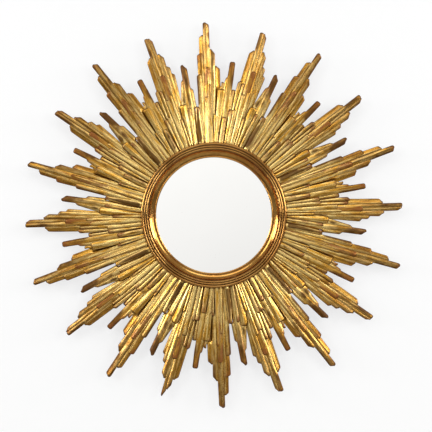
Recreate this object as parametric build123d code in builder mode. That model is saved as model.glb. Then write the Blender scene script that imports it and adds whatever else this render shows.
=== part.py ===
from build123d import *

import os
from math import cos, radians, sin

# A sunburst wall mirror. Its back rests on the wall in the plane y = 0, the glass faces -Y, +Z is
# up, and the origin is the centre of the burst on the wall. Depths are distances from the wall,
# angles run clockwise as seen from the front, and all lengths are in millimetres.

# The burst: ten equal sectors, each with one ray of every pattern
sector_count = 10
first_ray_lean = -2.4
tall_reach = 400.0
long_reach = 391.0
square_reach = 320.0
slant_reach = 318.0

# Directions of the four rays of a sector, from its tall ray
tall_turn = 0.0
square_turn = 9.6
long_turn = 18.0
slant_turn = 27.0

# The turned moulding, from the sight edge outwards
sight_radius = 119.5
lip_width = 3.5
cove_width = 11.3
quirk_width = 1.2
inner_bead_width = 4.2
middle_bead_width = 4.6
outer_bead_width = 5.9
bead_step = 0.6
lip_height = 2.0
cove_depth = 11.5
cove_sag = 2.6
quirk_depth = 4.0
bead_share = 0.42
flange_edge = 7.0

# Glass, packing and back panel, stacked in the moulding's rebate
glass_thickness = 4.0
glass_radius = 127.0
rebate_play = 1.0
packing_thickness = 3.0
panel_thickness = 6.0
spigot_wall = 12.5

# The two plywood rings behind the rays
mounting_thickness = 6.0
mounting_width = 79.2
spigot_play = 0.3
spacer_thickness = 9.0
spacer_width = 25.0

# The rays' seat under the moulding, and the glue line between neighbours
seat_height = 14.0
seat_play = 0.3
glue_line = 0.2
tip_reserve = 20.0

# How a lath is dressed: its front falls from a ridge to both edges and to its end, and the corners
# of the end are cut off, both limited to a share of the lath's width
flank_fall = 1.8
flank_share = 0.2
end_fall = 1.6
end_slope = 2.4
corner_cut = 2.2
corner_share = 0.28

# Turn buttons on the mounting ring
button_angles = (45, 135, 225, 315)
button_inset = 6.0
button_reach = 29.5
button_width = 12.0
button_thickness = 1.5
button_lift = 0.2
pivot_radius = 1.75
running_clearance = 0.08
screw_head_radius = 3.6
screw_head_height = 1.7
screw_depth = 5.0

# The hanger at the top of the back
strap_width = 14.0
strap_thickness = 1.2
strap_length = 21.0
swing_gap = 1.75
wire_radius = 1.25
ring_half_width = 11.0
ring_corner = 3.0
ring_drop = 20.0
ring_lift = 0.65
strap_screws = (6.5, 14.5)
strap_screw_radius = 1.3
strap_head_radius = 2.4

# Laths of each ray. A row holds how far the lath's end lies below the ray's own tip, its left and
# right edge there, its left and right edge at the foot, its height above the mounting ring, how
# much shorter its right corner is than its left, and its ridge's share of the way across.
tall_crown = {
    "spine": (0, -7, 6, -7, 8, 13, 3, 0.28),
    "left_near": (26, -16, -5, -19, -5, 11.5, -3, 0.45),
    "left_middle": (63, -21.5, -8, -16, -5, 12.5, -3, 0.4),
    "left_far": (107, -23.5, -13, -20, -8, 13.5, -2, 0.35),
    "right_near": (56, 4, 16.5, 3, 10, 12, 7, 0.6),
    "right_far": (91, 13, 25.5, 8, 24, 10.5, 4, 0.25),
}
long_crown = {
    "spine_left": (0, -9.5, -0.5, -12.5, -1, 13, 0, 0.35),
    "spine_right": (1, -2, 6, -2, 9.5, 12.5, 6, 0.5),
    "left_near": (40, -20, -8, -26, -8, 11.5, -5, 0.55),
    "left_far": (108, -26, -18.5, -26, -17, 13, -3, 0.5),
    "left_inner": (112, -17.5, -11, -17, -8, 14, 0, 0.45),
    "right_near": (38, 5, 17, -4, 4, 12, 8, 0.55),
    "right_middle": (68, 13, 22, 0, 8, 11, 3, 0.5),
    "right_far": (85, 18, 26, -2, 6, 10, 3, 0.45),
}
square_crown = {
    "spine": (0, -7.3, 5.2, -10, 3.2, 13, 0, 0.45),
    "left_near": (31, -11, -5, -36, -8, 11.5, -3, 0.5),
    "left_far": (44, -21.5, -13, -24, -12, 10, 0, 0.5),
    "right_far": (57, 3, 13, 2, 9, 10, 0, 0.5),
}
slant_crown = {
    "spine": (0, -7.5, 5.5, -12.5, 3, 13, 7, 0.38),
    "left_near": (30, -12, -6, -41, -11, 12, -3, 0.55),
    "right_near": (49, 1, 9.5, 0, 9, 11, 4, 0.5),
}

# The front laths that are lapped over a ray's middle. Their ends are pointed, and the value before
# the last is the point's length.
tall_front = {"front": (93, -6, 4, -13, -1, 15, 8, 0.5)}
long_front = {"front": (82, -6.5, 5, -8, -0.5, 15, 8, 0.45)}

# Laths lapped over the foot of each ray. Here the first value is how far the end stands out from
# the moulding's edge, and the others are as above.
tall_foot = {
    "valley": (76, -29.5, -21, -28, -12, 15, 0, 0.5),
    "left": (96, -7.7, -2.8, -11, -4.2, 16.5, 0, 0.5),
    "right": (122, -0.5, 4.5, -3.8, 5.6, 16, 0, 0.45),
}
long_foot = {
    "left": (72, -20.5, -13.2, -17, -7.4, 16, 0, 0.5),
    "middle": (107, -12, -2.8, -7, 1.8, 16.5, 0, 0.5),
    "right": (115, -1.5, 5.1, -1.5, 2.4, 15.5, 0, 0.45),
}
square_foot = {
    "flank": (111, -25, -8.5, -19, -11.5, 14.5, 0, 0.45),
    "left_far": (58, -31, -22.5, -20, -14, 16, 0, 0.5),
    "left_near": (54, -21, -14.5, -15, -9.2, 15.5, 0, 0.5),
    "middle": (54, -7.8, 0.5, -10, 1, 16.5, 0, 0.5),
    "right": (71, 3.9, 13, 2, 6, 16, 0, 0.5),
}
slant_foot = {
    "flank": (87, -26, -9.8, -17, -12.4, 14.5, 0, 0.45),
    "left": (59, -31, -24.5, -22, -15.3, 16, 0, 0.5),
    "middle": (77, -9.2, -2.5, -12.6, -7, 15.5, 0, 0.5),
}

# Seams between neighbouring rays, as distances out from the moulding's edge and angles from the
# sector's tall ray. Each follows the glue line up to the gap between the two rays.
slant_tall_seam = ((-12, -9.9), (29, -8.9), (78, -7.65), (79, -6.0), (280, -6.0))
tall_square_seam = ((-12, 2.0), (58.5, 2.3), (59.5, 3.5), (111, 4.2), (118, 5.6), (280, 6.5))
square_long_seam = ((-12, 11.6), (71.5, 12.8), (73, 12.1), (112, 12.25), (280, 12.1))
long_slant_seam = (
    (-12, 18.5), (58, 18.9), (61, 20.2), (84, 21.0), (88, 21.9), (111, 23.1), (124, 23.3), (280, 24.0),
)

# Worked out from the sizes above
pitch = 360 / sector_count
spacer_depth = spacer_thickness
bed_depth = spacer_depth + mounting_thickness
rebate_radius = glass_radius + rebate_play
spigot_radius = rebate_radius + spigot_wall
mounting_inner_radius = spigot_radius + spigot_play
cove_inner = sight_radius + lip_width
cove_outer = cove_inner + cove_width
quirk_outer = cove_outer + quirk_width
inner_bead_outer = quirk_outer + inner_bead_width
middle_bead_outer = inner_bead_outer + middle_bead_width
ring_radius = middle_bead_outer + outer_bead_width
mounting_outer_radius = mounting_inner_radius + mounting_width
foot_radius = mounting_inner_radius + spigot_play
shoulder_depth = spacer_depth + panel_thickness + packing_thickness + glass_thickness
seat_depth = bed_depth + seat_height
outer_bead_depth = seat_depth + flange_edge
middle_bead_depth = outer_bead_depth + bead_step
inner_bead_depth = middle_bead_depth + bead_step
lip_depth = inner_bead_depth - cove_depth
spacer_inner_radius = mounting_outer_radius - spacer_width
button_radius = mounting_inner_radius + button_inset
button_depth = spacer_depth - button_lift - button_thickness
hanger_height = spacer_inner_radius - swing_gap - ring_drop - wire_radius
hanger_depth = spacer_depth - strap_thickness - ring_lift - wire_radius
barrel_bore = wire_radius + running_clearance
barrel_radius = barrel_bore + strap_thickness


def polar(radius, angle):
    """The point at a radius and a clockwise angle from straight up, in the plane of the burst."""
    return (radius * sin(radians(angle)), radius * cos(radians(angle)))


def carve_lath(end, left, right, foot_left, foot_right, height, slant, ridge, cut):
    """One lath of a ray that points straight up, its front ridged and its end sloped."""
    left_end = end + min(slant, 0)
    right_end = end - max(slant, 0)
    across = min(cut, corner_share * (right - left))
    crest = -bed_depth - height
    fall = min(flank_fall, flank_share * (right - left))
    foot_crest = Vector(foot_left + ridge * (foot_right - foot_left), crest, foot_radius)
    end_crest = Vector(left + ridge * (right - left), crest, end)
    with BuildPart() as bar:
        with BuildSketch(Plane.XZ.offset(bed_depth)):
            with BuildLine():
                Polyline(
                    (foot_left, foot_radius),
                    (foot_right, foot_radius),
                    (right, right_end - cut),
                    (right - across, right_end),
                    (left + across, left_end),
                    (left, left_end - cut),
                    close=True,
                )
            make_face()
        extrude(amount=height)
        left_fall = Vector(left, crest + fall, end) - end_crest
        right_fall = Vector(right, crest + fall, end) - end_crest
        along = end_crest - foot_crest
        nose = Vector(right - left, 0, right_end - left_end)
        split(bisect_by=Plane(foot_crest, z_dir=along.cross(left_fall)), keep=Keep.BOTTOM)
        split(bisect_by=Plane(foot_crest, z_dir=right_fall.cross(along)), keep=Keep.BOTTOM)
        end_edge = Vector(left, crest + end_fall, left_end)
        nose_fall = Vector(0, end_fall, end_slope)
        split(bisect_by=Plane(end_edge, z_dir=nose.cross(nose_fall)), keep=Keep.BOTTOM)
    return bar.part


def carve_ray(reach, crown, front, foot, turn, left_seam, right_seam):
    """A ray that points straight up, glued up from its laths and trimmed to its share."""
    laths = []
    for drop, *edges in crown.values():
        laths.append(carve_lath(reach - drop, *edges, corner_cut))
    for drop, *edges, point, ridge in front.values():
        laths.append(carve_lath(reach - drop, *edges, 0, ridge, point))
    for rise, *edges in foot.values():
        laths.append(carve_lath(ring_radius + rise, *edges, corner_cut))
    outline = [polar(ring_radius + out, angle - turn) for out, angle in left_seam]
    outline += [polar(ring_radius + out, angle - turn) for out, angle in reversed(right_seam)]
    with BuildPart() as ray:
        for lath in laths:
            add(lath)
        with BuildSketch(Plane.XZ.offset(bed_depth)) as share:
            with BuildLine():
                Polyline(*outline, close=True)
            make_face()
            offset(amount=-glue_line / 2, kind=Kind.INTERSECTION)
        extrude(share.sketch, amount=seat_height + tip_reserve, mode=Mode.INTERSECT)
        with BuildSketch(Plane.XZ.offset(bed_depth)) as inner_end:
            Circle(foot_radius)
        extrude(inner_end.sketch, amount=seat_height + tip_reserve, mode=Mode.SUBTRACT)
        with BuildSketch(Plane.XZ.offset(seat_depth)) as seat:
            Circle(ring_radius + seat_play)
        extrude(seat.sketch, amount=tip_reserve, mode=Mode.SUBTRACT)
    return ray.part


def write_part(part, name):
    part.label = name
    export_step(part, f"parts/{name}.step")


os.makedirs("parts", exist_ok=True)

# Forty rays: each pattern is carved once and set round the burst
next_slant_tall_seam = [(out, angle + pitch) for out, angle in slant_tall_seam]
patterns = {
    "tall_ray": (
        tall_turn,
        carve_ray(
            tall_reach, tall_crown, tall_front, tall_foot, tall_turn, slant_tall_seam, tall_square_seam,
        ),
    ),
    "square_ray": (
        square_turn,
        carve_ray(
            square_reach, square_crown, {}, square_foot, square_turn, tall_square_seam, square_long_seam,
        ),
    ),
    "long_ray": (
        long_turn,
        carve_ray(
            long_reach, long_crown, long_front, long_foot, long_turn, square_long_seam, long_slant_seam,
        ),
    ),
    "slant_ray": (
        slant_turn,
        carve_ray(
            slant_reach, slant_crown, {}, slant_foot, slant_turn, long_slant_seam, next_slant_tall_seam,
        ),
    ),
}
for name, (turn, pattern) in patterns.items():
    for number in range(sector_count):
        with BuildPart() as ray:
            add(pattern, rotation=(0, first_ray_lean + turn + number * pitch, 0))
        write_part(ray.part, f"{name}_{number + 1:02d}")

# The turned moulding: spigot, flange, three beads, quirk, cove and sight lip in one section
with BuildPart() as ring_frame:
    with BuildSketch(Plane.XY):
        with BuildLine():
            Polyline(
                (sight_radius, -lip_depth),
                (sight_radius, -shoulder_depth),
                (rebate_radius, -shoulder_depth),
                (rebate_radius, -spacer_depth),
                (spigot_radius, -spacer_depth),
                (spigot_radius, -seat_depth),
                (ring_radius, -seat_depth),
                (ring_radius, -outer_bead_depth),
            )
            SagittaArc(
                (ring_radius, -outer_bead_depth),
                (middle_bead_outer, -outer_bead_depth),
                outer_bead_width * bead_share,
            )
            Line((middle_bead_outer, -outer_bead_depth), (middle_bead_outer, -middle_bead_depth))
            SagittaArc(
                (middle_bead_outer, -middle_bead_depth),
                (inner_bead_outer, -middle_bead_depth),
                middle_bead_width * bead_share,
            )
            Line((inner_bead_outer, -middle_bead_depth), (inner_bead_outer, -inner_bead_depth))
            SagittaArc(
                (inner_bead_outer, -inner_bead_depth),
                (quirk_outer, -inner_bead_depth),
                inner_bead_width * bead_share,
            )
            Polyline(
                (quirk_outer, -inner_bead_depth),
                (quirk_outer, -inner_bead_depth + quirk_depth),
                (cove_outer, -inner_bead_depth + quirk_depth),
                (cove_outer, -inner_bead_depth),
            )
            SagittaArc(
                (cove_outer, -inner_bead_depth),
                (cove_inner, -lip_depth),
                -cove_sag,
            )
            ThreePointArc(
                (cove_inner, -lip_depth),
                (sight_radius + lip_width / 2, -lip_depth - lip_height),
                (sight_radius, -lip_depth),
            )
        make_face()
    revolve(axis=Axis.Y)
write_part(ring_frame.part, "ring_frame")

# The glass lies on the rebate's shoulder, with packing and the back panel behind it
with BuildPart() as mirror_glass:
    with BuildSketch(Plane.XZ.offset(shoulder_depth - glass_thickness)):
        Circle(glass_radius)
    extrude(amount=glass_thickness)
write_part(mirror_glass.part, "mirror_glass")

with BuildPart() as packing_sheet:
    with BuildSketch(Plane.XZ.offset(spacer_depth + panel_thickness)):
        Circle(glass_radius)
    extrude(amount=packing_thickness)
write_part(packing_sheet.part, "packing_sheet")

with BuildPart() as back_panel:
    with BuildSketch(Plane.XZ.offset(spacer_depth)):
        Circle(glass_radius)
    extrude(amount=panel_thickness)
write_part(back_panel.part, "back_panel")

# Centres of the screws, on the mounting ring's back
button_centres = [polar(button_radius, angle) for angle in button_angles]
strap_centres = [(0, hanger_height - down) for down in strap_screws]

# Plywood ring that the rays and the moulding are glued to, drilled for the screws
with BuildPart() as mounting_ring:
    with BuildSketch(Plane.XZ.offset(spacer_depth)):
        Circle(mounting_outer_radius)
        Circle(mounting_inner_radius, mode=Mode.SUBTRACT)
    extrude(amount=mounting_thickness)
    with BuildSketch(Plane.XZ.offset(spacer_depth)):
        with Locations(*button_centres):
            Circle(pivot_radius)
        with Locations(*strap_centres):
            Circle(strap_screw_radius)
    extrude(amount=screw_depth, mode=Mode.SUBTRACT)
write_part(mounting_ring.part, "mounting_ring")

# Plywood ring that stands the mirror off the wall and clears the fittings
with BuildPart() as spacer_ring:
    with BuildSketch(Plane.XZ):
        Circle(mounting_outer_radius)
        Circle(spacer_inner_radius, mode=Mode.SUBTRACT)
    extrude(amount=spacer_thickness)
write_part(spacer_ring.part, "spacer_ring")

# Turn buttons, each swivelling on its own screw with its tongue over the back panel
for number, (angle, centre) in enumerate(zip(button_angles, button_centres), start=1):
    tongue = button_reach - button_width / 2
    with BuildPart() as turn_button:
        with BuildSketch(Plane.XZ.offset(button_depth)):
            with Locations(Location((*centre, 0), (0, 0, 270 - angle))):
                SlotCenterPoint((tongue / 2, 0), (tongue, 0), button_width)
                Circle(pivot_radius + running_clearance, mode=Mode.SUBTRACT)
        extrude(amount=button_thickness)
    write_part(turn_button.part, f"turn_button_{number}")


def turned_screws(centres, shank_radius, head):
    """Equal screws driven forwards at the given points, each turned from its head's outline."""
    with BuildPart() as screw:
        with BuildSketch(Plane.XY):
            with BuildLine():
                add(head)
                tip = -spacer_depth - screw_depth
                Polyline(head @ 1, (shank_radius, tip), (0, tip), head @ 0)
            make_face()
        revolve(axis=Axis.Y)
    with BuildPart() as screws:
        with Locations(*[(x, 0, z) for x, z in centres]):
            add(screw.part)
    return screws.part


with BuildLine() as round_head:
    seat = button_lift - button_depth
    TangentArc((0, seat + screw_head_height), (screw_head_radius, seat), tangent=(1, 0))
    Line((screw_head_radius, seat), (pivot_radius, seat))
write_part(turned_screws(button_centres, pivot_radius, round_head.line), "turn_button_screws")

# Hanger: a strap folded round the straight side of a D-shaped wire ring, and its screws
with BuildPart() as hanger_strap:
    with BuildSketch(Plane.YZ.offset(-strap_width / 2)):
        with Locations((-spacer_depth + strap_thickness / 2, hanger_height - strap_length / 2)):
            Rectangle(strap_thickness, strap_length)
        with Locations((-hanger_depth, hanger_height)):
            Circle(barrel_radius)
            Circle(barrel_bore, mode=Mode.SUBTRACT)
    extrude(amount=strap_width)
    with Locations(Plane.XZ.offset(spacer_depth - strap_thickness).rotated((180, 0, 0))):
        with Locations(*[(x, -z) for x, z in strap_centres]):
            CounterSinkHole(
                strap_screw_radius + running_clearance,
                strap_head_radius + running_clearance,
                depth=strap_thickness,
                counter_sink_angle=90,
            )
write_part(hanger_strap.part, "hanger_strap")

with BuildLine() as flat_head:
    strap_back = strap_thickness - spacer_depth
    Polyline(
        (0, strap_back),
        (strap_head_radius, strap_back),
        (strap_screw_radius, strap_back - strap_head_radius + strap_screw_radius),
    )
write_part(turned_screws(strap_centres, strap_screw_radius, flat_head.line), "hanger_screws")

with BuildPart() as hanging_ring:
    bar_end = ring_half_width - ring_corner
    with BuildLine(Plane.XZ.offset(hanger_depth)) as wire:
        Line((-bar_end, hanger_height), (bar_end, hanger_height))
        shoulder = hanger_height - ring_corner
        arc_start = hanger_height - ring_drop + ring_half_width
        RadiusArc((bar_end, hanger_height), (ring_half_width, shoulder), ring_corner)
        Line((ring_half_width, shoulder), (ring_half_width, arc_start))
        ThreePointArc(
            (ring_half_width, arc_start), (0, hanger_height - ring_drop), (-ring_half_width, arc_start)
        )
        Line((-ring_half_width, arc_start), (-ring_half_width, shoulder))
        RadiusArc((-ring_half_width, shoulder), (-bar_end, hanger_height), ring_corner)
    with BuildSketch(Plane.YZ.offset(-bar_end)) as wire_section:
        with Locations((-hanger_depth, hanger_height)):
            Circle(wire_radius)
    sweep(wire_section.sketch, path=wire.line)
write_part(hanging_ring.part, "hanging_ring")
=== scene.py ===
import math
import random

import bpy
import numpy as np
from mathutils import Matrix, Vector


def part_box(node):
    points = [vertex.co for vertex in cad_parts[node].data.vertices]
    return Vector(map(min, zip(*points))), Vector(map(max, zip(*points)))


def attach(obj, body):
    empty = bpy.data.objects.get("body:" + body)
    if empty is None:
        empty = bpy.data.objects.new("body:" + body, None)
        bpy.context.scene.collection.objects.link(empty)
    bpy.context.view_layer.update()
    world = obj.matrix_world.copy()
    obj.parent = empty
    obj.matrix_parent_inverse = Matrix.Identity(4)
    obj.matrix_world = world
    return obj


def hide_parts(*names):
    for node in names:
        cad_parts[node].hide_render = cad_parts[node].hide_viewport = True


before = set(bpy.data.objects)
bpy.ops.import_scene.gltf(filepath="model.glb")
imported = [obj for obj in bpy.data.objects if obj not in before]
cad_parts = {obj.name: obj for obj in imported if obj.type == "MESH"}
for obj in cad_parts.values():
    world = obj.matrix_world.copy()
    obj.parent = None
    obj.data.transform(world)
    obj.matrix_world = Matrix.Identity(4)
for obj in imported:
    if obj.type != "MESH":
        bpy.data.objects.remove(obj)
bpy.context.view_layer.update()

# Lengths of the carving are in millimetres, as on the object, and everything else is in metres.
# The mirror faces -Y, +Z is up, and angles run clockwise as seen from the front.
MM = 0.001
ROOT_BODY = "mirror"
RAY_COUNT = 10
PITCH = 360 / RAY_COUNT
LEAN = -2.4

# Sizes taken from the frame
RING_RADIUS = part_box("ring_frame")[1].x / MM
BED_DEPTH = -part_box("mounting_ring")[0].y / MM

# Where the rays begin, how high they may stand under the moulding, and their gaps to neighbours
FOOT_RADIUS = 141.1
SEAT_HEIGHT = 14.0
SEAT_PLAY = 0.3
GLUE_LINE = 0.2

# Laths of each ray: how far the end stands out from the centre, left and right edge there, left and
# right edge at the foot, height above the bed, how much shorter the right corner is than the left,
# where across the lath its ridge runs, how far it falls to its left and right edge, and how much of
# its gilding is worn through
TALL = {
    "spine": (399.8, -7, 6, -7, 8, 13, 3, 0.28, 1.2, 3.0, 0.12),
    "left_near": (374, -16, -5, -19, -5, 11.5, -3, 0.45, 2.4, 0.8, 0.15),
    "left_middle": (337, -21.5, -8, -16, -5, 12.5, -3, 0.4, 3.0, 2.0, 0.3),
    "left_far": (293, -23.5, -13, -20, -8, 13.5, -2, 0.35, 2.4, 2.2, 0.2),
    "right_near": (344, 4, 16.5, 3, 10, 12, 7, 0.6, 1.6, 2.6, 0.12),
    "right_far": (309, 13, 25.5, 8, 24, 10.5, 4, 0.25, 1.0, 3.2, 0.25),
    "front": (307, -6, 4, -13, -1, 15, 0, 0.5, 2.2, 2.0, 0.65),
    "valley": (226.2, -29.5, -21, -28, -12, 15, 0, 0.5, 1.8, 2.0, 0.25),
    "foot_left": (246.2, -7.7, -2.8, -11, -4.2, 16.5, 0, 0.5, 1.6, 1.4, 0.25),
    "foot_right": (272.2, -0.5, 4.5, -3.8, 5.6, 16, 0, 0.45, 1.6, 1.8, 0.35),
}
LONG = {
    "spine_left": (391, -9.5, -0.5, -12.5, -1, 13, 0, 0.35, 2.0, 1.8, 0.12),
    "spine_right": (390, -2, 6, -2, 9.5, 12.5, 6, 0.5, 2.0, 2.6, 0.2),
    "left_near": (351, -20, -8, -26, -8, 11.5, -5, 0.55, 3.0, 1.0, 0.2),
    "left_far": (283, -26, -18.5, -26, -17, 13, -3, 0.5, 2.2, 1.6, 0.3),
    "left_inner": (279, -17.5, -11, -17, -8, 14, 0, 0.45, 2.0, 1.8, 0.3),
    "right_near": (353, 5, 17, -4, 4, 12, 8, 0.55, 1.2, 2.8, 0.12),
    "right_middle": (323, 13, 22, 0, 8, 11, 3, 0.5, 1.4, 2.2, 0.15),
    "right_far": (306, 18, 26, -2, 6, 10, 3, 0.45, 1.2, 2.2, 0.2),
    "front": (309, -6.5, 5, -8, -0.5, 15, 0, 0.45, 2.4, 2.0, 0.75),
    "foot_left": (222.2, -20.5, -13.2, -17, -7.4, 16, 0, 0.5, 1.8, 1.8, 0.3),
    "foot_middle": (257.2, -12, -2.8, -7, 1.8, 16.5, 0, 0.5, 2.2, 2.2, 0.2),
    "foot_right": (265.2, -1.5, 5.1, -1.5, 2.4, 15.5, 0, 0.45, 1.8, 1.8, 0.2),
}
SQUARE = {
    "spine": (320, -7.3, 5.2, -10, 3.2, 13, 0, 0.45, 2.2, 2.4, 0.3),
    "left_near": (289, -11, -5, -36, -8, 11.5, -3, 0.5, 2.4, 1.0, 0.3),
    "left_far": (276, -21.5, -13, -24, -12, 10, 0, 0.5, 1.6, 1.6, 0.3),
    "right_far": (263, 3, 13, 2, 9, 10, 0, 0.5, 1.2, 2.2, 0.35),
    "flank": (261.2, -25, -8.5, -19, -11.5, 14.5, 0, 0.45, 2.0, 1.8, 0.2),
    "foot_left_far": (208.2, -31, -22.5, -20, -14, 16, 0, 0.5, 1.8, 1.8, 0.4),
    "foot_left_near": (204.2, -21, -14.5, -15, -9.2, 15.5, 0, 0.5, 1.6, 1.6, 0.25),
    "foot_middle": (204.2, -7.8, 0.5, -10, 1, 16.5, 0, 0.5, 2.0, 1.8, 0.45),
    "foot_right": (221.2, 3.9, 13, 2, 6, 16, 0, 0.5, 1.8, 1.8, 0.3),
}
SLANT = {
    "spine": (318, -7.5, 5.5, -12.5, 3, 13, 7, 0.38, 2.0, 3.0, 0.35),
    "left_near": (288, -12, -6, -41, -11, 12, -3, 0.55, 2.2, 1.0, 0.2),
    "right_near": (269, 1, 9.5, 0, 9, 11, 4, 0.5, 1.0, 2.4, 0.25),
    "flank": (237.2, -26, -9.8, -17, -12.4, 14.5, 0, 0.45, 2.0, 1.8, 0.2),
    "foot_left": (209.2, -31, -24.5, -22, -15.3, 16, 0, 0.5, 1.6, 1.6, 0.4),
    "foot_middle": (227.2, -9.2, -2.5, -12.6, -7, 15.5, 0, 0.5, 1.8, 1.6, 0.45),
}

# One long ray has lost the corners of its tip: end radius and slant of its broken laths
CHIPPED = {("long_ray", 5): {"spine_left": (374, -8), "spine_right": (390, -10)}}

# Seams between neighbouring rays, as distances out from the moulding and angles from the tall ray
SLANT_TALL = ((-12, -9.9), (29, -8.9), (78, -7.65), (79, -6.0), (280, -6.0))
TALL_SQUARE = ((-12, 2.0), (58.5, 2.3), (59.5, 3.5), (111, 4.2), (118, 5.6), (280, 6.5))
SQUARE_LONG = ((-12, 11.6), (71.5, 12.8), (73, 12.1), (112, 12.25), (280, 12.1))
LONG_SLANT = (
    (-12, 18.5), (58, 18.9), (61, 20.2), (84, 21.0), (88, 21.9), (111, 23.1), (124, 23.3), (280, 24.0),
)
NEXT_SLANT_TALL = tuple((out, angle + PITCH) for out, angle in SLANT_TALL)
PATTERNS = {
    "tall_ray": (0.0, TALL, SLANT_TALL, TALL_SQUARE),
    "square_ray": (9.6, SQUARE, TALL_SQUARE, SQUARE_LONG),
    "long_ray": (18.0, LONG, SQUARE_LONG, LONG_SLANT),
    "slant_ray": (27.0, SLANT, LONG_SLANT, NEXT_SLANT_TALL),
}

# Sections along a lath: their spacing, their places in the rounding of its end, the short step that
# clears the moulding, and the fewest that make a lath
STATION_STEP = 6.0
END_SECTIONS = (0.72, 0.48, 0.28, 0.13, 0.04, 0.0)
SEAT_STEP = 0.4
LEAST_SECTIONS = 3

# Split facets across a lath: their width, how far their edges rise or sink and drift from that, and
# how far they lie off even places and wander from there, as a share of a facet
FACET_WIDTH = 4.2
FACET_RISE = 1.25
FACET_DRIFT = 0.5
FACET_SHIFT = 0.22
FACET_WANDER = 0.14

# Rounding of creases and edges, the most of a lath's width that each may take, where an edge has its
# middle section and how far it drops, and the length and drop of the rounded end
CREASE_HALF = 0.22
CREASE_SHARE = 0.04
EDGE_ROUND = 0.8
EDGE_SHARE = 0.25
EDGE_MIDDLE = 0.3
EDGE_DROP = 0.9
END_ROUND = 4.2
END_DROP = 2.6

# Corners of a lath's end: length of the cut and its share of the width, the share of a slanted end
# that stays blunt, and the length over which a front lath comes to a point
CORNER_CUT = 5.6
CORNER_SHARE = 0.29
BLUNT_SHARE = 0.3
POINT_LENGTH = 8.0

# Least width and height of a lath, how much higher each next one has its sole, how much it falls for
# each millimetre outwards, its room under the moulding, and the angle from which edges stay sharp
LEAST_WIDTH = 0.8
LEAST_HEIGHT = 1.5
SOLE_STEP = 0.03
TIP_FALL = 0.012
HEAD_ROOM = 0.2
SHARP_ANGLE = 50

# How unevenly it is cut: reach of the wobbles, the lengths over which they run, and the share of
# them that differs from copy to copy
WOBBLE_EDGE = 0.25
WOBBLE_HEIGHT = 0.3
EDGE_RUN = 24.0
HEIGHT_RUN = 34.0
FACET_RUN = 46.0
RISE_RUN = 42.0
COPY_WOBBLE = 0.5

# How far wear and the painted shade along outlines reach in from a lath's edges and end, and over
# which radii the gilding turns browner
WORN_EDGE = 1.6
WORN_END = 18.0
OUTLINE_EDGE = 0.9
OUTLINE_END = 4.5
OUTWARD_FROM = 200.0
OUTWARD_OVER = 120.0

# How a lath's wear counts on its face and how much more at its end, and the wear of its edges
WEAR_FACE = 0.6
WEAR_END = 0.9
WEAR_EDGE = 0.3

# Painted highlight on a lath's edges and ridges, partly burnished leaf and partly the light they catch:
# its level at the edges, the rise of a ridge that takes it in full, and how much less it is further out
HIGHLIGHT_EDGE = 0.9
HIGHLIGHT_RISE = 0.7
HIGHLIGHT_OUTWARD_LOSS = 0.1

# Lightness of the gold: its base, how much laths and copies differ, and how much darker it is further
# out
TONE_BASE = 0.55
TONE_LATHS = 0.3
TONE_COPIES = 0.35
TONE_OUTWARD_LOSS = 0.78


def wander(generator, points, step, reach):
    """A smooth random run of values from -reach to reach, with a new random value every step."""
    count = int(points.max() / step) + 3
    knots = np.array([generator.uniform(-reach, reach) for _ in range(count)])
    place = points / step
    low = np.floor(place).astype(int)
    part = place - low
    part = part * part * (3 - 2 * part)
    return knots[low] * (1 - part) + knots[low + 1] * part


def seam_offset(seam, turn, along):
    """Where a seam runs across a ray, at the given distances along it."""
    radius = np.array([RING_RADIUS + out for out, _ in seam])
    angle = np.radians([angle - turn for _, angle in seam])
    return np.interp(along, radius * np.cos(angle), radius * np.sin(angle))


def lath_stations(end, seam_steps):
    """Distances along a lath: even, closer at its end, and on both sides of the seams' steps."""
    even = np.linspace(FOOT_RADIUS, end - END_ROUND, max(3, int((end - FOOT_RADIUS) / STATION_STEP)))
    tail = end - END_ROUND * np.array(END_SECTIONS)
    foot = np.array([RING_RADIUS + SEAT_PLAY, RING_RADIUS + SEAT_PLAY + SEAT_STEP])
    steps = np.array([s for s in seam_steps if FOOT_RADIUS < s < end - END_ROUND])
    return np.unique(np.round(np.concatenate([even, tail, foot, steps]), 3))


def quarter_round(share):
    """Drop of a quarter round, 1 at its rim and 0 from where the share of its radius reaches 1."""
    return 1 - np.sqrt(np.clip(1 - (1 - np.clip(share, 0, 1)) ** 2, 0, 1))


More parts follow.
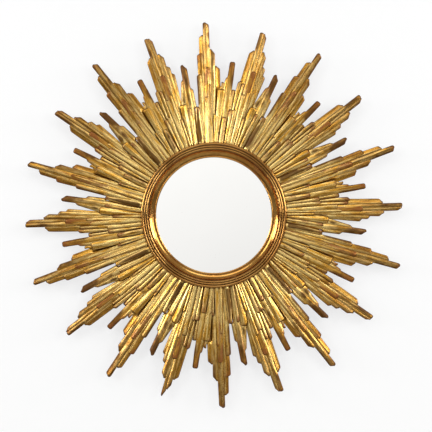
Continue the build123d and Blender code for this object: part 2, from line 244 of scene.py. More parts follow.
def carve(row, turn, left_seam, right_seam, seed, copy_seed):
    """One lath as a grid of points (across, along, height), with its wear, tone, how far out it lies,
    painted shade along its outline and painted highlight on its edges and ridges.
    """
    end, left, right, foot_left, foot_right, height, slant, ridge, fall_left, fall_right, worn = row
    steps = [RING_RADIUS + out for seam in (left_seam, right_seam) for out, _ in seam[1:-1]]
    along = lath_stations(end, steps)
    share = (along - FOOT_RADIUS) / (end - FOOT_RADIUS)
    shape, copy = random.Random(seed), random.Random(copy_seed)
    path = along - FOOT_RADIUS

    def wobble(step, reach):
        return wander(shape, path, step, reach) + wander(copy, path, step, reach * COPY_WOBBLE)

    low = foot_left + (left - foot_left) * share + wobble(EDGE_RUN, WOBBLE_EDGE)
    high = foot_right + (right - foot_right) * share + wobble(EDGE_RUN, WOBBLE_EDGE)
    crest = height - TIP_FALL * (along - RING_RADIUS) + wobble(HEIGHT_RUN, WOBBLE_HEIGHT)
    cut = POINT_LENGTH if "front" in seed else min(CORNER_CUT, 0.5 * (right - left))
    near = np.clip((along - (end - cut)) / cut, 0, 1)
    pull = CORNER_SHARE * (right - left) * (1 - np.sqrt(1 - near**2))
    low, high = low + pull, high - pull
    low = np.maximum(low, seam_offset(left_seam, turn, along) + GLUE_LINE / 2)
    high = np.minimum(high, seam_offset(right_seam, turn, along) - GLUE_LINE / 2)

    count = max(2, round((right - left) / FACET_WIDTH))
    bounds, levels = [np.zeros_like(along)], [crest - fall_left]
    for k in range(1, count):
        spot = (k + shape.uniform(-FACET_SHIFT, FACET_SHIFT)) / count
        fall = fall_left * max(0, 1 - spot / ridge) + fall_right * max(0, (spot - ridge) / (1 - ridge))
        bounds.append(spot + wobble(FACET_RUN, FACET_WANDER / count))
        rise = shape.uniform(-FACET_RISE, FACET_RISE) + wobble(RISE_RUN, FACET_DRIFT)
        levels.append(crest - fall + rise)
    bounds.append(np.ones_like(along))
    levels.append(crest - fall_right)

    valid = high - low > LEAST_WIDTH
    last = len(valid) - 1
    while last > 0 and not valid[last]:
        last -= 1
    first = last
    while first > 0 and valid[first - 1]:
        first -= 1
    if last - first < LEAST_SECTIONS:
        return None
    keep = slice(first, last + 1)
    along, low, high = along[keep], low[keep], high[keep]
    bounds = np.array(bounds)[:, keep].T
    levels = np.array(levels)[:, keep].T
    width = (high - low)[:, None]

    edge = np.minimum(EDGE_ROUND, EDGE_SHARE * width)
    half = np.minimum(CREASE_HALF, CREASE_SHARE * width)
    inner = np.stack([bounds[:, 1:-1] - half / width, bounds[:, 1:-1] + half / width], axis=2)
    inner = inner.reshape(len(along), -1)
    zero = np.zeros_like(width)
    outer = EDGE_MIDDLE * edge / width
    t = np.hstack([zero, outer, edge / width, inner, 1 - edge / width, 1 - outer, zero + 1])
    t = np.sort(t, axis=1)
    top = np.array([np.interp(*rows) for rows in zip(t, bounds, levels)])
    rim = np.minimum(t, 1 - t) * width
    top = top - EDGE_DROP * edge * quarter_round(rim / edge)
    top = top - END_DROP * quarter_round((end - along) / END_ROUND)[:, None]
    under_moulding = along[:, None] <= RING_RADIUS + SEAT_PLAY
    top = np.where(under_moulding, np.minimum(top, SEAT_HEIGHT - HEAD_ROOM), top)
    top = np.maximum(top, LEAST_HEIGHT)

    x = low[:, None] + t * width
    lean = t if slant > 0 else 1 - t
    slanted = end - abs(slant) * np.clip((lean - BLUNT_SHARE) / (1 - BLUNT_SHARE), 0, 1)
    z = FOOT_RADIUS + (along[:, None] - FOOT_RADIUS) * (slanted - FOOT_RADIUS) / (end - FOOT_RADIUS)
    from_end = end - along[:, None]
    wear_edge = np.clip(1 - rim / WORN_EDGE, 0, 1)
    wear_end = np.clip(1 - from_end / WORN_END, 0, 1)
    wear = np.clip(worn * (WEAR_FACE + WEAR_END * wear_end) + WEAR_EDGE * wear_edge, 0, 1)
    # How far out a point lies, over which the gilding turns browner and darker
    outward_share = np.clip((along[:, None] - OUTWARD_FROM) / OUTWARD_OVER, 0, 1) + 0 * t
    # Painted shade along the lath's edges and its end
    outline_shade = np.clip(np.maximum(1 - rim / OUTLINE_EDGE, 1 - from_end / OUTLINE_END), 0, 1)
    # Painted highlight on the edges and on ridges above their neighbours, partly burnished leaf and
    # partly the light they catch
    burnish_and_highlight = np.zeros_like(t)
    burnish_and_highlight[:, 2] = burnish_and_highlight[:, -3] = HIGHLIGHT_EDGE
    for k in range(1, count):
        convex = levels[:, k] - (levels[:, k - 1] + levels[:, k + 1]) / 2
        burnish_and_highlight[:, 1 + 2 * k] = burnish_and_highlight[:, 2 + 2 * k] = np.clip(convex / HIGHLIGHT_RISE, 0, 1)
    burnish_and_highlight *= 1 - HIGHLIGHT_OUTWARD_LOSS * outward_share
    tone = TONE_BASE + TONE_LATHS * shape.random() + TONE_COPIES * copy.random() - TONE_OUTWARD_LOSS * outward_share
    looks = {"wear": wear, "outline_shade": outline_shade, "tone": tone, "burnish_and_highlight": burnish_and_highlight, "outward_share": outward_share}
    return {"x": x, "z": z, "top": top, **looks}


def ray_laths(name, copy_index):
    """All laths of one ray, in the frame of a ray that points straight up."""
    turn, rows, left_seam, right_seam = PATTERNS[name]
    made = []
    chips = CHIPPED.get((name, copy_index), {})
    for number, (lath, row) in enumerate(rows.items()):
        if lath in chips:
            end, slant = chips[lath]
            row = (end, *row[1:6], slant, *row[7:])
        cut = carve(row, turn, left_seam, right_seam, f"{name} {lath}", f"{name} {lath} {copy_index}")
        if cut is not None:
            cut["number"] = number
            made.append(cut)
    return made


def turned(x, z, degrees):
    """Points of a ray that points straight up, turned clockwise by some degrees."""
    a = math.radians(degrees)
    return x * math.cos(a) + z * math.sin(a), z * math.cos(a) - x * math.sin(a)


rays = {}
for pattern in PATTERNS:
    turn = PATTERNS[pattern][0]
    for index in range(RAY_COUNT):
        rays[f"{pattern}_{index + 1:02d}"] = (LEAN + turn + index * PITCH, ray_laths(pattern, index))

# A relief map of the whole burst, one millimetre to a cell, tells which points lie low or stand proud,
# for the patina and painted shade in hollows, the painted shade on rims and the wear of what stands
# proud
MAP_HALF = 410
MOULDING_HEIGHT = 22.0
NEAR_REACH = 2
WIDE_REACH = 5
MAP_SIZE = 2 * MAP_HALF + 1
DENSE_ALONG = 6
DENSE_ACROSS = 3


def refine(values, rows, columns):
    """Values of a grid, read in between by straight lines, rows and columns times as often."""
    i = np.linspace(0, values.shape[0] - 1, (values.shape[0] - 1) * rows + 1)
    j = np.linspace(0, values.shape[1] - 1, (values.shape[1] - 1) * columns + 1)
    i0 = np.minimum(i.astype(int), values.shape[0] - 2)
    j0 = np.minimum(j.astype(int), values.shape[1] - 2)
    fi, fj = (i - i0)[:, None], (j - j0)[None, :]
    near, far = values[i0], values[i0 + 1]
    return (near[:, j0] * (1 - fj) + near[:, j0 + 1] * fj) * (1 - fi) + (
        far[:, j0] * (1 - fj) + far[:, j0 + 1] * fj
    ) * fi


def blurred(values, radius):
    """Values of a square map, evened out by three passes of a box of the given radius."""
    for _ in range(3):
        for axis in (0, 1):
            pad = [(0, 0), (0, 0)]
            pad[axis] = (radius + 1, radius)
            total = np.cumsum(np.pad(values, pad, mode="edge"), axis=axis)
            size = 2 * radius + 1
            upper = np.take(total, range(size, size + MAP_SIZE), axis=axis)
            lower = np.take(total, range(MAP_SIZE), axis=axis)
            values = (upper - lower) / size
    return values


relief = np.zeros((MAP_SIZE, MAP_SIZE))
for degrees, laths in rays.values():
    for cut in laths:
        x, z = turned(*(refine(cut[k], DENSE_ALONG, DENSE_ACROSS) for k in ("x", "z")), degrees)
        top = refine(cut["top"], DENSE_ALONG, DENSE_ACROSS)
        cells = (np.round(x + MAP_HALF).astype(int), np.round(z + MAP_HALF).astype(int))
        np.maximum.at(relief, cells, top)
grid = np.arange(MAP_SIZE) - MAP_HALF
inside_moulding = grid[:, None] ** 2 + grid[None, :] ** 2 < RING_RADIUS**2
relief[inside_moulding] = MOULDING_HEIGHT
near_mean = blurred(relief, NEAR_REACH)
wide_mean = blurred(relief, WIDE_REACH)


def map_value(values, x, z):
    """Values of a map at the given places, by the nearest cell."""
    i = np.clip(np.round(x + MAP_HALF).astype(int), 0, MAP_SIZE - 1)
    j = np.clip(np.round(z + MAP_HALF).astype(int), 0, MAP_SIZE - 1)
    return values[i, j]


def lath_faces(rows, columns, start):
    """Faces of a closed lath whose rings run from its left sole over its top to its right sole."""
    faces = []
    for i in range(rows - 1):
        for j in range(columns):
            a = start + i * columns + j
            b = start + i * columns + (j + 1) % columns
            faces.append((a, b, b + columns, a + columns))
    faces.append(tuple(start + j for j in reversed(range(columns))))
    faces.append(tuple(start + (rows - 1) * columns + j for j in range(columns)))
    return faces


# Looks that each point carries for the material, the height differences that count in full, the
# shares of them that don't count, and the wear of what stands proud. Points that lie low take patina
# and painted shade, and points that stand above their near neighbours take painted shade on their rims
LOOKS = ("wear", "outline_shade", "tone", "burnish_and_highlight", "outward_share", "hollow", "rim_shade")
NEAR_HOLLOW = 3.5
WIDE_DIFFERENCE = 9.0
NEAR_RIM_SHADE = 3.2
RIM_SHADE_FROM = 0.4
PROUD_FROM = 0.2
PROUD_WEAR = 0.8

# Texture places: how far apart laths and rays take theirs, how many places rays have, and their scale
LATHS_APART = 40
RAYS_APART = 97.0
RAY_PLACES = 53
PLACE_SCALE = 10


def build_ray(name, degrees, laths, material):
    """A carved ray as one mesh of lapped laths, with texture places and looks for its material."""
    points, faces, place = [], [], []
    spread = {look: [] for look in LOOKS}
    for cut in laths:
        number = cut["number"]

        def skirted(values):
            return np.hstack([values[:, :1], values, values[:, -1:]])

        x, z, height = skirted(cut["x"]), skirted(cut["z"]), skirted(cut["top"])
        height[:, [0, -1]] = number * SOLE_STEP
        world_x, world_z = turned(x, z, degrees)
        faces += lath_faces(*x.shape, len(points))
        depth = -(BED_DEPTH + height)
        points += np.stack([world_x * MM, depth * MM, world_z * MM], axis=2).reshape(-1, 3).tolist()
        place += np.stack([x + LATHS_APART * number, z], axis=2).reshape(-1, 2).tolist()
        near = map_value(near_mean, world_x, world_z)
        wide = map_value(wide_mean, world_x, world_z)
        looks = {look: skirted(cut[look]) for look in LOOKS if look in cut}
        # Patina and painted shade where a point lies below its neighbours
        looks["hollow"] = np.maximum((near - height) / NEAR_HOLLOW, (wide - height) / WIDE_DIFFERENCE)
        # Painted shade on rims, where a point stands above its near neighbours
        looks["rim_shade"] = (height - near) / NEAR_RIM_SHADE - RIM_SHADE_FROM
        proud = np.clip((height - wide) / WIDE_DIFFERENCE - PROUD_FROM, 0, 1)
        looks["wear"] += PROUD_WEAR * proud
        for look, values in looks.items():
            spread[look] += np.clip(values, 0, 1).ravel().tolist()
    mesh = bpy.data.meshes.new(name + "_carved")
    mesh.from_pydata(points, [], faces)
    layer = mesh.uv_layers.new(name="carving")
    shift = RAYS_APART * (sum(map(ord, name)) % RAY_PLACES)
    corner = np.zeros(len(mesh.loops), dtype=int)
    mesh.loops.foreach_get("vertex_index", corner)
    spots = (np.array(place)[corner] + [shift, 0]) * MM * PLACE_SCALE
    layer.data.foreach_set("uv", spots.astype(np.float32).ravel())
    for look, values in spread.items():
        data = mesh.attributes.new(look, "FLOAT", "POINT")
        data.data.foreach_set("value", np.array(values, np.float32))
    mesh.polygons.foreach_set("use_smooth", [True] * len(mesh.polygons))
    mesh.set_sharp_from_angle(angle=math.radians(SHARP_ANGLE))
    mesh.materials.append(material)
    ray = bpy.data.objects.new(name + "_carved", mesh)
    bpy.context.scene.collection.objects.link(ray)
    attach(ray, ROOT_BODY)
    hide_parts(name)


class Nodes:
    """Short ways to build the node tree of a material or of the world."""

    def __init__(self, owner):
        owner.use_nodes = True
        self.tree = owner.node_tree
        self.tree.nodes.clear()

    def put(self, socket, value):
        if isinstance(value, bpy.types.NodeSocket):
            self.tree.links.new(value, socket)
        elif isinstance(value, tuple) and len(value) == 3 and socket.type == "RGBA":
            socket.default_value = (*value, 1)
        else:
            socket.default_value = value

    def add(self, kind, settings=None, **inputs):
        node = self.tree.nodes.new("ShaderNode" + kind)
        for key, value in (settings or {}).items():
            setattr(node, key, value)
        for key, value in inputs.items():
            self.put(node.inputs[key.replace("_", " ")], value)
        return node

    def math(self, operation, first, second=0.5, third=0.0, clamp=True):
        node = self.add("Math", {"operation": operation, "use_clamp": clamp})
        for socket, value in zip(node.inputs, (first, second, third)):
            self.put(socket, value)
        return node.outputs[0]

    def attribute(self, name):
        return self.add("Attribute", {"attribute_name": name}).outputs["Fac"]

    def noise(self, vector, scale, detail=3.0, roughness=0.55):
        node = self.add("TexNoise", Vector=vector, Scale=scale, Detail=detail, Roughness=roughness)
        return node.outputs[0]

    def stretch(self, vector, scale):
        return self.add("Mapping", Vector=vector, Scale=scale).outputs[0]

    def ramp(self, value, low, high, out_low=0.0, out_high=1.0):
        node = self.add("MapRange", {"interpolation_type": "SMOOTHSTEP"}, Value=value)
        limits = {"From Min": low, "From Max": high, "To Min": out_low, "To Max": out_high}
        for key, limit in limits.items():
            node.inputs[key].default_value = limit
        return node.outputs[0]

    def mix(self, factor, first, second):
        node = self.add("Mix", {"data_type": "RGBA"})
        self.put(node.inputs[0], factor)
        self.put(node.inputs[6], first)
        self.put(node.inputs[7], second)
        return node.outputs[2]

    def blend(self, factor, first, second):
        node = self.add("Mix", {"data_type": "FLOAT"})
        self.put(node.inputs[0], factor)
        self.put(node.inputs[2], first)
        self.put(node.inputs[3], second)
        return node.outputs[0]

    def choose(self, factor, first, second):
        """The first shader where the factor is 0, the second where it is 1."""
        node = self.add("MixShader")
        for socket, value in zip(node.inputs, (factor, first, second)):
            self.put(socket, value)
        return node.outputs[0]

    def bump(self, height, strength, distance, normal=None):
        node = self.add("Bump", Height=height, Strength=strength, Distance=distance)
        if normal is not None:
            self.put(node.inputs["Normal"], normal)
        return node.outputs[0]


def new_finish(name):
    """A new material and the nodes to build it with."""
    material = bpy.data.materials.new(name)
    return material, Nodes(material)


def surface(material, n, **inputs):
    """Closes a material with a principled shader that has the given inputs."""
    shader = n.add("BsdfPrincipled", **inputs)
    n.add("OutputMaterial", Surface=shader.outputs[0])
    return material


# Colours, as linear light
# The first colour is pale leaf, and also the painted highlight on edges and ridges
GOLD_LIGHT = (1.0, 0.74, 0.28)
GOLD_MIDDLE = (0.75, 0.39, 0.046)
UMBER = (0.30, 0.145, 0.04)
GOLD_DEEP = (0.33, 0.14, 0.012)
BOLE = (0.27, 0.082, 0.02)
# The last colour is patina and also painted shade, in hollows, along outlines and on rims
PATINA_AND_SHADE = (0.105, 0.043, 0.008)

# Patterns in the carving's gilding, as repeats across and along a lath
STREAKS = (70, 3.0, 1)
PATCHES = (14, 3.2, 1)
GRAIN = (170, 30, 1)
BANDS = (27, 2.0, 1)

# How far hollows take patina and painted shade and outlines take painted shade, how much of it shows
# at most, and how rough the leaf, the dirt on it and the bole are
HOLLOW_SHADE = 0.62
OUTLINE_SHADE = 0.85
PATINA_AND_SHADE_MOST = 0.9
LEAF_ROUGHNESS = (0.2, 0.36)
DIRT_ROUGHNESS = 0.25
BOLE_ROUGHNESS = 0.1
BOLE_DULL = 0.5


def gilt_carving():
    """Water-gilt carving: leaf over red bole, rubbed through on edges and ends, with patina and painted
    shade in the hollows, painted shade along outlines and on rims, and painted highlights on edges and
    ridges.
    """
    material, n = new_finish("gilt_carving")
    place = n.add("UVMap", {"uv_map": "carving"}).outputs[0]
    wear, outline_shade, tone, burnish_and_highlight, outward_share, hollow, rim_shade = (n.attribute(look) for look in LOOKS)
    streaks = n.noise(n.stretch(place, STREAKS), 1.0, 4.0, 0.6)
    patches = n.noise(n.stretch(place, PATCHES), 1.0, 3.0)
    grain = n.noise(n.stretch(place, GRAIN), 1.0, 3.0, 0.65)
    bands = n.noise(n.stretch(place, BANDS), 1.0, 2.0)

    shade = n.math("MULTIPLY_ADD", n.ramp(streaks, 0.3, 0.7), 0.25, n.math("MULTIPLY", tone, 0.4))
    shade = n.math("MULTIPLY_ADD", n.ramp(bands, 0.36, 0.64), 0.35, shade)
    gold = n.mix(n.ramp(shade, 0.1, 0.5), GOLD_DEEP, GOLD_MIDDLE)
    # Painted highlight on edges and ridges, mixed with the pale streaks towards the pale leaf
    ridge_highlight = n.math("MULTIPLY", n.ramp(burnish_and_highlight, 0.55, 1.0), n.ramp(patches, 0.35, 0.6))
    light = n.math("MULTIPLY_ADD", ridge_highlight, 0.95, n.ramp(shade, 0.5, 0.85))
    gold = n.mix(light, gold, GOLD_LIGHT)
    # Browner further out
    gold = n.mix(n.math("MULTIPLY", outward_share, n.math("MULTIPLY_ADD", bands, -1.05, 1.0)), gold, UMBER)
    uneven = n.math("MULTIPLY_ADD", patches, 0.4, n.math("MULTIPLY", bands, 0.25))
    uneven = n.math("MULTIPLY_ADD", streaks, 0.35, uneven)
    rubbed = n.ramp(n.math("MULTIPLY", wear, n.ramp(uneven, 0.36, 0.6)), 0.15, 0.42)
    rubbed = n.math("MULTIPLY", rubbed, n.ramp(grain, 0.25, 0.55))
    # Painted shade: hollows take patina and painted shade, and outlines and rims take painted shade,
    # all towards the patina colour
    lined = n.math("MULTIPLY", outline_shade, OUTLINE_SHADE)
    shade_and_patina = n.math("MAXIMUM", n.math("MULTIPLY", hollow, HOLLOW_SHADE), lined)
    shade_and_patina = n.math("MAXIMUM", shade_and_patina, rim_shade)
    dark = n.ramp(n.math("ADD", shade_and_patina, n.math("MULTIPLY_ADD", streaks, 0.5, -0.25)), 0.15, 0.7)
    colour = n.mix(rubbed, gold, BOLE)
    colour = n.mix(n.math("MULTIPLY", dark, PATINA_AND_SHADE_MOST), colour, PATINA_AND_SHADE)
    metal = n.math("SUBTRACT", 1.0, n.math("MULTIPLY", rubbed, BOLE_DULL))
    rough = n.blend(n.ramp(grain, 0.25, 0.75), *LEAF_ROUGHNESS)
    rough = n.math("ADD", rough, n.math("MULTIPLY", dark, DIRT_ROUGHNESS))
    rough = n.math("ADD", rough, n.math("MULTIPLY", rubbed, BOLE_ROUGHNESS))
    normal = n.bump(streaks, 0.6, 0.0006)
    normal = n.bump(grain, 0.35, 0.0003, normal)
    return surface(
        material,
        n,
        Base_Color=colour,
        Metallic=metal,
        Roughness=rough,
        Normal=normal,
        Specular_IOR_Level=0.25,
        Coat_Weight=0.12,
        Coat_Roughness=0.22,
    )


def object_place(n):
    """Places on a piece in its own metres, for the patterns of the plain pieces."""
    return n.add("TexCoord").outputs["Object"]


# The moulding: radii of the dark lines of painted shade in the grooves between its beads, half their
# width, where the beads begin, how brown the beads are and how dark the painted shade in the grooves
# is, how much bole shows, its roughness, and its colours
BEAD_LINES = (134.9, 139.7, 144.3)
BEAD_LINE_HALF = 0.5
BEADS_FROM = 133.0
BEADS_FULL = 135.5
BEADS_BROWN = 0.45
LINES_SHADE = 0.8
MOULDING_WEAR = 0.55
MOULDING_ROUGHNESS = (0.1, 0.2)
MOULDING_LOW = (0.48, 0.225, 0.05)
MOULDING_HIGH = (0.66, 0.38, 0.11)
MOULDING_RUBBED = (0.26, 0.09, 0.03)
BEAD_BROWN = (0.26, 0.12, 0.035)
# The last colour is the painted shade in the grooves between the beads
GROOVE_SHADE = (0.07, 0.026, 0.006)


def gilt_moulding():
    """Burnished turned moulding, redder and darker than the carving, rubbed on its beads, with painted
    shade in the grooves between them.
    """
    material, n = new_finish("gilt_moulding")
    place = object_place(n)
    clouds = n.noise(place, 14.0, 4.0)
    grain = n.noise(place, 260.0, 3.0, 0.65)
    colour = n.mix(n.ramp(clouds, 0.35, 0.65), MOULDING_LOW, MOULDING_HIGH)
    rubbed = n.math("MULTIPLY", n.ramp(n.noise(place, 38.0, 4.0, 0.7), 0.55, 0.72), MOULDING_WEAR)
    colour = n.mix(rubbed, colour, MOULDING_RUBBED)
    across = n.add("VectorMath", {"operation": "MULTIPLY"}, Vector=place)
    across.inputs[1].default_value = (1, 0, 1)
    radius = n.add("VectorMath", {"operation": "LENGTH"}, Vector=across.outputs[0]).outputs["Value"]
    beads = n.ramp(radius, BEADS_FROM * MM, BEADS_FULL * MM)
    colour = n.mix(n.math("MULTIPLY", beads, BEADS_BROWN), colour, BEAD_BROWN)
    # Painted shade in the grooves between the beads
    for line in BEAD_LINES:
        near_line = n.math("COMPARE", radius, line * MM, BEAD_LINE_HALF * MM)
        colour = n.mix(n.math("MULTIPLY", near_line, LINES_SHADE), colour, GROOVE_SHADE)
    rough = n.blend(n.ramp(grain, 0.3, 0.7), *MOULDING_ROUGHNESS)
    normal = n.bump(n.noise(place, 60.0, 3.0), 0.18, 0.0006)
    return surface(
        material,
        n,
        Base_Color=colour,
        Metallic=n.math("SUBTRACT", 1.0, n.math("MULTIPLY", rubbed, 0.7)),
        Roughness=rough,
        Normal=normal,
        Coat_Weight=0.12,
        Coat_Roughness=0.2,
    )


# The glass, in haze, clear and at its specks, and how rough the haze makes it at most
GLASS_HAZY = (0.93, 0.935, 0.925)
GLASS_CLEAR = (0.965, 0.965, 0.955)
GLASS_SPECK = (0.62, 0.61, 0.58)
GLASS_ROUGHNESS = 0.02


def silvered_glass():
    """Plain mirror glass with the faintest haze and a few grey specks."""
    material, n = new_finish("silvered_glass")
    place = object_place(n)
    haze = n.noise(place, 9.0, 4.0)
    specks = n.ramp(n.noise(place, 420.0, 2.0), 0.74, 0.8)
    colour = n.mix(specks, n.mix(haze, GLASS_HAZY, GLASS_CLEAR), GLASS_SPECK)
    rough = n.blend(n.ramp(haze, 0.3, 0.7), 0.0, GLASS_ROUGHNESS)
    normal = n.bump(haze, 0.01, 0.0001)
    return surface(material, n, Base_Color=colour, Metallic=1.0, Roughness=rough, Normal=normal)


# How much finer the second grain of a board is than its first
FINE_GRAIN = 3.5


def board(name, light, dark, stain, repeats):
    """Wooden board with a few stains, its grain running where it has the fewest repeats per metre."""
    material, n = new_finish(name)
    place = object_place(n)
    grain = n.noise(n.stretch(place, repeats), 1.0, 5.0, 0.6)
    fine = n.noise(n.stretch(place, tuple(FINE_GRAIN * count for count in repeats)), 1.0, 3.0)
    colour = n.mix(n.ramp(grain, 0.3, 0.7), dark, light)
    colour = n.mix(n.math("MULTIPLY", n.ramp(n.noise(place, 7.0, 4.0), 0.5, 0.75), 0.5), colour, stain)
    rough = n.blend(fine, 0.55, 0.8)
    fibres = n.math("MULTIPLY_ADD", grain, 0.6, n.math("MULTIPLY", fine, 0.4))
    return surface(material, n, Base_Color=colour, Roughness=rough, Normal=n.bump(fibres, 0.35, 0.0006))


def fitting(name, bright, dull, smooth, rough):
    """Small metal fitting, dulled in patches and scratched."""
    material, n = new_finish(name)
    place = object_place(n)
    dulled = n.ramp(n.noise(place, 90.0, 4.0, 0.6), 0.4, 0.68)
    scratches = n.noise(n.stretch(place, (900, 900, 120)), 1.0, 2.0)
    matt = n.math("MULTIPLY_ADD", dulled, 0.7, n.math("MULTIPLY", scratches, 0.3))
    roughness = n.blend(matt, smooth, rough)
    normal = n.bump(scratches, 0.25, 0.0001)
    colour = n.mix(dulled, bright, dull)
    return surface(material, n, Base_Color=colour, Metallic=0.95, Roughness=roughness, Normal=normal)


carving = gilt_carving()
for name, (degrees, laths) in rays.items():
    build_ray(name, degrees, laths, carving)

packing = board(
    "packing",
    light=(0.30, 0.22, 0.14),
    dark=(0.22, 0.16, 0.10),
    stain=(0.15, 0.10, 0.06),
    repeats=(60, 60, 60),
)
panel = board(
    "panel_plywood",
    light=(0.36, 0.22, 0.11),
    dark=(0.24, 0.14, 0.065),
    stain=(0.12, 0.07, 0.035),
    repeats=(90, 90, 5),
)
plywood = board(
    "ring_plywood",
    light=(0.27, 0.15, 0.07),
    dark=(0.17, 0.09, 0.04),
    stain=(0.09, 0.05, 0.025),
    repeats=(8, 90, 90),
)
brass = fitting(
    "button_brass",
    bright=(0.62, 0.46, 0.18),
    dull=(0.24, 0.17, 0.07),
    smooth=0.28,
    rough=0.5,
)
steel = fitting(
    "fitting_steel",
    bright=(0.55, 0.54, 0.52),
    dull=(0.27, 0.24, 0.21),
    smooth=0.25,
    rough=0.5,
)
finishes = {
    "ring_frame": (gilt_moulding(), "gilt_moulding"),
    "mirror_glass": (silvered_glass(), "mirror"),
    "packing_sheet": (packing, "packing"),
    "back_panel": (panel, "panel_plywood"),
    "mounting_ring": (plywood, "ring_plywood"),
    "spacer_ring": (plywood, "ring_plywood"),
    "turn_button_screws": (steel, "screw_steel"),
    "hanger_screws": (steel, "screw_steel"),
    "hanger_strap": (steel, "hanger_steel"),
    "hanging_ring": (steel, "hanger_steel"),
}
for number in range(1, 5):
    finishes[f"turn_button_{number}"] = (brass, "button_brass")
for name, (material, slot) in finishes.items():
    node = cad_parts[name]
    node.data.materials.clear()
    node.data.materials.append(material)


def stage_plane(name, size_x, size_y, location, rotation, material):
    """A flat rectangle of the stage."""
    half_x, half_y = size_x / 2, size_y / 2
    mesh = bpy.data.meshes.new(name)
    corners = [(-half_x, -half_y, 0), (half_x, -half_y, 0), (half_x, half_y, 0), (-half_x, half_y, 0)]
    mesh.from_pydata(corners, [], [(0, 1, 2, 3)])
    mesh.materials.append(material)
    plane = bpy.data.objects.new(name, mesh)
    plane.location = location
    plane.rotation_euler = rotation
    bpy.context.scene.collection.objects.link(plane)


# The stage: a white wall half a millimetre behind the mirror and a pale floor well below it. The
# camera sees little of the light on them and mostly a glow, so that shadows stay faint.
WALL_GAP = 0.0005
WALL_SIZE = (12, 8)
WALL_HEIGHT = 2.6
WALL_COLOUR = (0.84, 0.84, 0.83)
FLOOR_DROP = 1.3
FLOOR_SIZE = (14, 4.4)
FLOOR_COLOUR = (0.3, 0.29, 0.27)
SEEN_COLOUR = (0.29, 0.30, 0.315)
FLOOR_SEEN_COLOUR = (0.235, 0.24, 0.25)
GLOW_TINT = (0.985, 0.99, 1.0)
WALL_GLOW = 0.712
FLOOR_GLOW = 0.75


def pale_surface(name, colour, seen_colour, lift, lets_light_by=False):
    """Pale matt stage surface, open to a view from behind, and if asked to light from behind too."""
    material, n = new_finish(name)
    matt = n.add("BsdfDiffuse", Color=colour)
    seen = n.add("BsdfDiffuse", Color=seen_colour)
    glow = n.add("Emission", Color=GLOW_TINT, Strength=lift)
    both = n.add("AddShader")
    n.put(both.inputs[0], seen.outputs[0])
    n.put(both.inputs[1], glow.outputs[0])
    path = n.add("LightPath").outputs
    look = n.choose(path["Is Camera Ray"], matt.outputs[0], both.outputs[0])
    is_open = n.add("NewGeometry").outputs["Backfacing"]
    if lets_light_by:
        is_open = n.math("MAXIMUM", is_open, path["Is Shadow Ray"])
    clear = n.add("BsdfTransparent").outputs[0]
    n.add("OutputMaterial", Surface=n.choose(is_open, look, clear))
    return material


wall_white = pale_surface("wall_white", WALL_COLOUR, SEEN_COLOUR, WALL_GLOW, True)
stage_plane("wall", *WALL_SIZE, (0, WALL_GAP, WALL_HEIGHT), (math.radians(90), 0, 0), wall_white)
floor_pale = pale_surface("floor_pale", FLOOR_COLOUR, FLOOR_SEEN_COLOUR, FLOOR_GLOW)
stage_plane("floor", *FLOOR_SIZE, (0, 0, -FLOOR_DROP), (0, 0, 0), floor_pale)

# Lamps: name, place, width, height and power in watts. Each faces the centre of the mirror, and
# the last one lights its back.
WARM = (1.0, 0.97, 0.92)
LAMPS = (
    ("light_left", (-2.5, -2.5, 1.1), 1.0, 1.5, 26),
    ("light_right", (2.5, -2.5, 0.9), 1.0, 1.5, 27),
    ("light_above", (-0.3, -3.0, 3.2), 3.8, 1.5, 36),
    ("window_left", (-2.8, -0.75, 0.62), 0.8, 0.9, 33),
    ("window_right", (2.8, -0.75, 0.62), 0.8, 0.9, 33),
    ("light_behind", (-0.9, 2.2, 0.9), 1.6, 1.6, 60),
)
for name, place, width, height, power in LAMPS:
    light = bpy.data.lights.new(name, "AREA")
    light.shape = "RECTANGLE"
    light.size = width
    light.size_y = height
    light.energy = power
    light.color = WARM
    lamp = bpy.data.objects.new(name, light)
    lamp.location = place
    lamp.rotation_mode = "QUATERNION"
    lamp.rotation_quaternion = Vector(place).to_track_quat("Z", "Y")
    lamp.visible_camera = False
    bpy.context.scene.collection.objects.link(lamp)

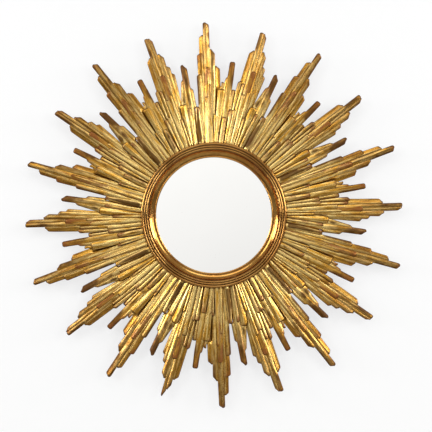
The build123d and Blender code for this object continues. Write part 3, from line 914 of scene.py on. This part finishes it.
# The room by direction: its level below and above and how far up and down that changes, and the
# bright wall that faces the mirror, with its level, how that leans to a side and upwards and how far
# it may rise and fall, and the half angles of its full and faded parts
ROOM_BELOW = 0.12
ROOM_ABOVE = 0.44
ROOM_REACH = 0.7
ROOM_WARMTH = (1.0, 0.94, 0.82)
FACING_TINT = (1.0, 0.99, 0.975)
FACING_LEVEL = 0.97
FACING_SIDE = -0.84
FACING_UP = 1.8
FACING_MORE = 0.06
FACING_LESS = 0.12
FACING_INNER = 5.0
FACING_OUTER = 24.0


def room_light():
    """World light of a room that is brightest where it faces the mirror and white to the camera."""
    world = bpy.data.worlds.new("studio")
    bpy.context.scene.world = world
    n = Nodes(world)

    def plain(operation, first, second):
        return n.math(operation, first, second, clamp=False)

    x, y, z = n.add("SeparateXYZ", Vector=n.add("TexCoord").outputs["Generated"]).outputs
    around = n.ramp(z, -ROOM_REACH, ROOM_REACH, ROOM_BELOW, ROOM_ABOVE)
    lean = plain("ADD", plain("MULTIPLY", x, FACING_SIDE), plain("MULTIPLY", z, FACING_UP))
    facing = plain("ADD", FACING_LEVEL, lean)
    facing = plain("MINIMUM", facing, FACING_LEVEL + FACING_MORE)
    facing = plain("MAXIMUM", facing, FACING_LEVEL - FACING_LESS)
    inner, outer = (-math.cos(math.radians(angle)) for angle in (FACING_INNER, FACING_OUTER))
    cone = n.ramp(y, inner, outer, 1.0, 0.0)
    colour = n.mix(cone, ROOM_WARMTH, FACING_TINT)
    room = n.add("Background", Color=colour, Strength=n.blend(cone, around, facing))
    white = n.add("Background")
    seen = n.add("LightPath").outputs["Is Camera Ray"]
    n.add("OutputWorld", Surface=n.choose(seen, room.outputs[0], white.outputs[0]))


room_light()

# The photograph's view: square on, with a long lens
LENS = 135.0
SENSOR = 36.0
VIEW_WIDTH = 0.893
VIEW_CENTRE = (0.0044, -0.0017)
FACE_DEPTH = 0.028
camera_data = bpy.data.cameras.new("camera")
camera_data.lens = LENS
camera_data.sensor_width = SENSOR
camera_data.clip_end = 60
camera = bpy.data.objects.new("camera", camera_data)
camera.location = (VIEW_CENTRE[0], -(FACE_DEPTH + VIEW_WIDTH * LENS / SENSOR), VIEW_CENTRE[1])
camera.rotation_euler = (math.radians(90), 0, 0)
bpy.context.scene.collection.objects.link(camera)
bpy.context.scene.camera = camera
bpy.context.scene.view_settings.view_transform = "Standard"
